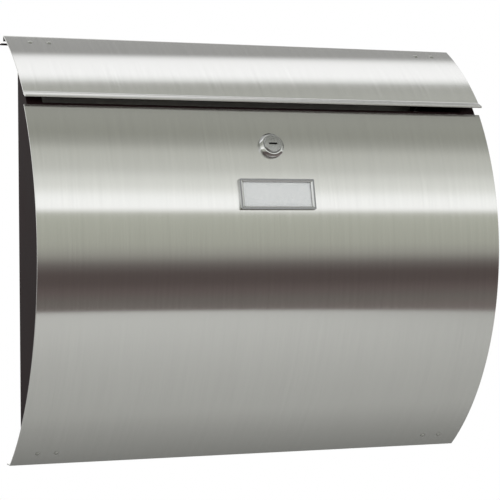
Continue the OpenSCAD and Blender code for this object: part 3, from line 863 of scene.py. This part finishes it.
# Stamped brass: warm yellow, with patches of tarnish of about 1.5 mm
brass, tree = new_material("stamped_brass")
coords = add(tree, "TexCoord", {}).outputs["Object"]
tarnish = add(tree, "TexNoise", {"Vector": coords, "Scale": 700.0, "Detail": 3.0})
brass_tone = add(tree, "ValToRGB", {"Fac": tarnish.outputs["Fac"]})
set_ramp(brass_tone, [(0.3, "b08a3c"), (0.7, "c9a557")])
surface(tree, {"Base Color": brass_tone.outputs["Color"], "Metallic": 1.0, "Roughness": 0.3})
carried_over("lock_wafers", brass)


# ---- Name plate -----------------------------------------------------------------
# A chrome plated frame whose flat rim is a darker grey, painted shade, held by two pegs and
# push-on clips behind the door, with a blank card behind a clear window.

PLATE_W = 65 * MM
PLATE_H = 25 * MM


def plate_grow(bm, edges, size, next_size, rise):
    """Draws a ring of edges on to another size and height over the plate's middle."""
    made = bmesh.ops.extrude_edge_only(bm, edges=edges)["geom"]
    verts = [g for g in made if isinstance(g, bmesh.types.BMVert)]
    stretch = Matrix.Diagonal((next_size[0] / size[0], next_size[1] / size[1], 1, 1))
    lift = Matrix.Translation((0, 0, rise))
    bmesh.ops.transform(
        bm, verts=verts, matrix=plate_frame @ lift @ stretch @ plate_frame.inverted()
    )
    return [
        g for g in made
        if isinstance(g, bmesh.types.BMEdge) and all(v in verts for v in g.verts)
    ]


# Satin nickel on the flat of the frame's rim: a darker grey line that is painted shade for
# the frame's shaded edge, with the grain of the blasting drawn 0.5 mm wide so that it shows
shade_nickel, tree = new_material("satin_nickel_painted_shade")
coords = add(tree, "TexCoord", {}).outputs["Object"]
blast = add(tree, "TexNoise", {"Vector": coords, "Scale": 1800.0, "Detail": 2.0})
nickel_shade_tone = add(tree, "ValToRGB", {"Fac": blast.outputs["Fac"]})
set_ramp(nickel_shade_tone, [(0.3, "86878a"), (0.7, "939497")])
nickel_rough = add(
    tree, "MapRange", {"Value": blast.outputs["Fac"], "To Min": 0.28, "To Max": 0.4}
)
surface(tree, {
    "Base Color": nickel_shade_tone.outputs["Color"], "Metallic": 1.0,
    "Roughness": nickel_rough.outputs[0],
})

# Chrome over brushed metal, on the frame's sides and slopes: bright, a little soft,
# with scratches drawn 0.7 mm apart so that they show
satin_chrome, tree = new_material("satin_chrome")
coords = add(tree, "TexCoord", {}).outputs["Object"]
brush_map = add(tree, "Mapping", {"Vector": coords, "Scale": (30.0, 1500.0, 1500.0)})
brushing = add(
    tree, "TexNoise", {"Vector": brush_map.outputs[0], "Scale": 1.0, "Detail": 2.0}
)
frame_tone = add(tree, "ValToRGB", {"Fac": brushing.outputs["Fac"]})
set_ramp(frame_tone, [(0.3, "c0c1c2"), (0.7, "cacbcc")])
frame_rough = add(
    tree, "MapRange", {"Value": brushing.outputs["Fac"], "To Min": 0.16, "To Max": 0.28}
)
surface(tree, {
    "Base Color": frame_tone.outputs["Color"], "Metallic": 1.0,
    "Roughness": frame_rough.outputs[0],
})

# The frame's section, drawn all round: up the outside, over the flat rim, down the
# inner slope to the window, back under it and down to the door. Each step gives how
# much narrower and lower the ring is than the frame, and its height, in mm.
PLATE_BACK = -0.35
FRAME_SECTION = [
    (0, 0, 2.2), (0.4, 0.4, 2.4), (3.0, 2.6, 2.4), (6.0, 5.0, 1.65), (4.6, 3.6, 1.6),
    (4.6, 3.6, -0.2), (0, 0, PLATE_BACK),
]
CORNER = 1.0 * MM
bm = bmesh.new()
outline = bmesh.ops.create_grid(bm, x_segments=1, y_segments=1, size=0.5)["verts"]
bmesh.ops.transform(
    bm, matrix=plate_frame @ Matrix.Translation((0, 0, PLATE_BACK * MM))
    @ Matrix.Diagonal((PLATE_W, PLATE_H, 1, 1)), verts=outline,
)
bmesh.ops.bevel(
    bm, geom=outline, offset=CORNER, offset_type="OFFSET", segments=5, profile=0.5,
    affect="VERTICES", material=-1, clamp_overlap=True,
)
edges = bm.edges[:]
bmesh.ops.delete(bm, geom=bm.faces[:], context="FACES_ONLY")
size, height = (PLATE_W, PLATE_H), PLATE_BACK
for narrower, lower, next_height in FRAME_SECTION:
    next_size = (PLATE_W - narrower * MM, PLATE_H - lower * MM)
    edges = plate_grow(bm, edges, size, next_size, (next_height - height) * MM)
    size, height = next_size, next_height
close_up(bm)
plate_out = plate_frame.to_3x3() @ Vector((0, 0, 1))
RIM_FROM = 2.39 * MM                        # faces above this are the flat rim
# The flat rim takes the darker nickel, painted shade; the rest takes the bright chrome
for face in bm.faces:
    up = (face.calc_center_median() - plate_frame.translation).dot(plate_out)
    face.material_index = 1 if up > RIM_FROM else 0
PEG_RADIUS = 0.95 * MM
PEG_END = -4 * MM
PEG_ROOT = 0.5 * MM
for x in (-PEG_X, PEG_X):
    rod(bm, plate_frame @ Matrix.Translation((x, 0, 0)), PEG_RADIUS, PEG_END, PEG_ROOT)
smooth_by_angle(bm, limit=25)
plate_rim = new_object("name_plate_frame", bm, satin_chrome)
plate_rim.data.materials.append(shade_nickel)
finish_piece(plate_rim, "door", "frame_chrome", "nameplate_frame")

# Uncoated white card: matt, faintly clouded by its fibres, drawn 2.5 mm apart so that
# they show
card_stock, tree = new_material("card")
coords = add(tree, "TexCoord", {}).outputs["Object"]
fibres = add(tree, "TexNoise", {"Vector": coords, "Scale": 400.0, "Detail": 4.0})
card_tone = add(tree, "ValToRGB", {"Fac": fibres.outputs["Fac"]})
set_ramp(card_tone, [(0.3, "e6e9ee"), (0.7, "eff1f5")])
surface(tree, {"Base Color": card_tone.outputs["Color"], "Roughness": 0.8})
carried_over("name_card", card_stock)

# Clear acrylic: polished, with the faint haze of handling. Light passes straight
# through to the card.
clear_acrylic, tree = new_material("clear_acrylic")
coords = add(tree, "TexCoord", {}).outputs["Object"]
haze = add(tree, "TexNoise", {"Vector": coords, "Scale": 60.0, "Detail": 2.0})
window_rough = add(
    tree, "MapRange", {"Value": haze.outputs["Fac"], "To Min": 0.02, "To Max": 0.08}
)
surface(tree, {
    "Base Color": linear("f6f8f8"), "Roughness": window_rough.outputs[0], "IOR": 1.49,
    "Alpha": 0.04,
})
carried_over("nameplate_window", clear_acrylic)
carried_over("nameplate_clips", pin_steel)
